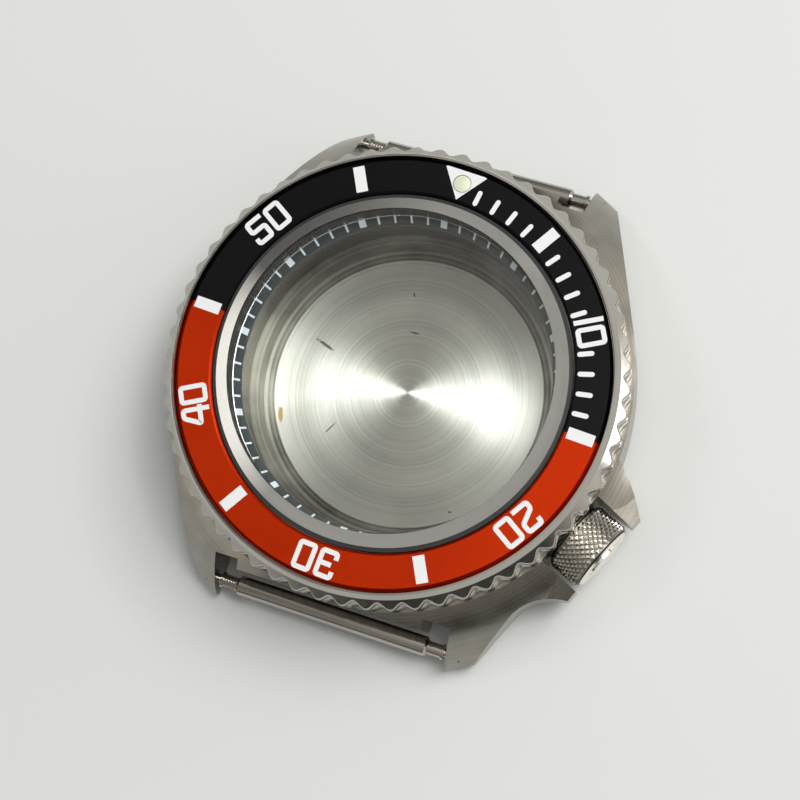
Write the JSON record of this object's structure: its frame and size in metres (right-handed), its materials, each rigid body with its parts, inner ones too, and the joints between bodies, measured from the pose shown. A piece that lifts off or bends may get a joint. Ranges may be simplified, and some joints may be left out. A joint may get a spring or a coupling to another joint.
{
  "type": "watch case",
  "caption": "Empty diver's watch case with a turning bezel, flat crystal, screw-down crown, screwed back and spring bars.",
  "frame": {"origin": "centre of the case back's outer face, on the axis of the case", "axes": "+Z out through the crystal, +Y to 12 o'clock, +X to 3 o'clock"},
  "size_m": [0.0442, 0.0454, 0.0129],
  "materials": {
    "satin_steel": "satin brushed",
    "turned_steel": "circular turned",
    "polished_steel": "polished",
    "knurled_steel": "knurled",
    "spring_steel": "drawn",
    "bar_steel": "polished",
    "anodised_insert": "anodised, two colours",
    "adhesive_film": "matt",
    "luminous_resin": "cast resin",
    "black_rubber": "moulded",
    "dark_nylon": "moulded",
    "painted_ring": "painted",
    "mineral_glass": "polished"
  },
  "bodies": {
    "case": {"mid_case": "satin_steel", "crystal": "mineral_glass", "crystal_gasket": "dark_nylon", "chapter_ring": "painted_ring", "crown_tube": "spring_steel", "click_spring": "spring_steel", "bezel_gasket": "black_rubber"},
    "bezel_ring": {"bezel": "polished_steel", "bezel_insert": "anodised_insert", "insert_adhesive": "adhesive_film", "lume_pip": "luminous_resin"},
    "back_seal": {"case_back_gasket": "black_rubber"},
    "back": {"case_back": "turned_steel"},
    "crown_stem": {"crown_post": "spring_steel"},
    "crown": {"crown_cap": "knurled_steel", "crown_gasket": "black_rubber", "crown_retainer": "spring_steel", "crown_spring": "spring_steel"},
    "bar_12": {"bar_12_tube": "bar_steel", "bar_12_spring": "spring_steel"},
    "bar_12_left": {"bar_12_plunger_left": "bar_steel"},
    "bar_12_right": {"bar_12_plunger_right": "bar_steel"},
    "bar_6": {"bar_6_tube": "bar_steel", "bar_6_spring": "spring_steel"},
    "bar_6_left": {"bar_6_plunger_left": "bar_steel"},
    "bar_6_right": {"bar_6_plunger_right": "bar_steel"}
  },
  "joints": [
    {"name": "bezel_turn", "type": "hinge", "parent": "case", "child": "bezel_ring", "pos_m": [0, 0, 0.0102], "axis": [0, 0, 1], "continuous": true, "deforming": ["click_spring"]},
    {"name": "back_lift", "type": "slide", "parent": "case", "child": "back_seal", "axis": [0, 0, -1], "range_m": [0, 0.016]},
    {"name": "back_turn", "type": "hinge", "parent": "back_seal", "child": "back", "pos_m": [0, 0, 0], "axis": [0, 0, -1], "range_deg": [0, 1440]},
    {"name": "crown_turn", "type": "hinge", "parent": "case", "child": "crown_stem", "pos_m": [0.01373, -0.00604, 0.0049], "axis": [0.9153, -0.4027, 0], "range_deg": [0, 1240]},
    {"name": "crown_travel", "type": "slide", "parent": "crown_stem", "child": "crown", "axis": [0.9153, -0.4027, 0], "range_m": [0, 0.0012], "deforming": ["crown_spring"]},
    {"name": "bar_12_spin", "type": "hinge", "parent": "case", "child": "bar_12", "pos_m": [0, 0.0213, 0.0029], "axis": [1, 0, 0], "continuous": true},
    {"name": "bar_12_left_push", "type": "slide", "parent": "bar_12", "child": "bar_12_left", "axis": [1, 0, 0], "range_m": [0, 0.0009], "stiffness_N_per_m": 250, "springref_m": -0.004, "deforming": ["bar_12_spring"]},
    {"name": "bar_12_right_push", "type": "slide", "parent": "bar_12", "child": "bar_12_right", "axis": [-1, 0, 0], "range_m": [0, 0.0009], "stiffness_N_per_m": 250, "springref_m": -0.004, "deforming": ["bar_12_spring"]},
    {"name": "bar_6_spin", "type": "hinge", "parent": "case", "child": "bar_6", "pos_m": [0, -0.0213, 0.0029], "axis": [1, 0, 0], "continuous": true},
    {"name": "bar_6_left_push", "type": "slide", "parent": "bar_6", "child": "bar_6_left", "axis": [1, 0, 0], "range_m": [0, 0.0009], "stiffness_N_per_m": 250, "springref_m": -0.004, "deforming": ["bar_6_spring"]},
    {"name": "bar_6_right_push", "type": "slide", "parent": "bar_6", "child": "bar_6_right", "axis": [-1, 0, 0], "range_m": [0, 0.0009], "stiffness_N_per_m": 250, "springref_m": -0.004, "deforming": ["bar_6_spring"]}
  ],
  "couplings": [
    {"joint": "crown_turn", "follows": "crown_travel", "rad_per_m": 17952}
  ]
}
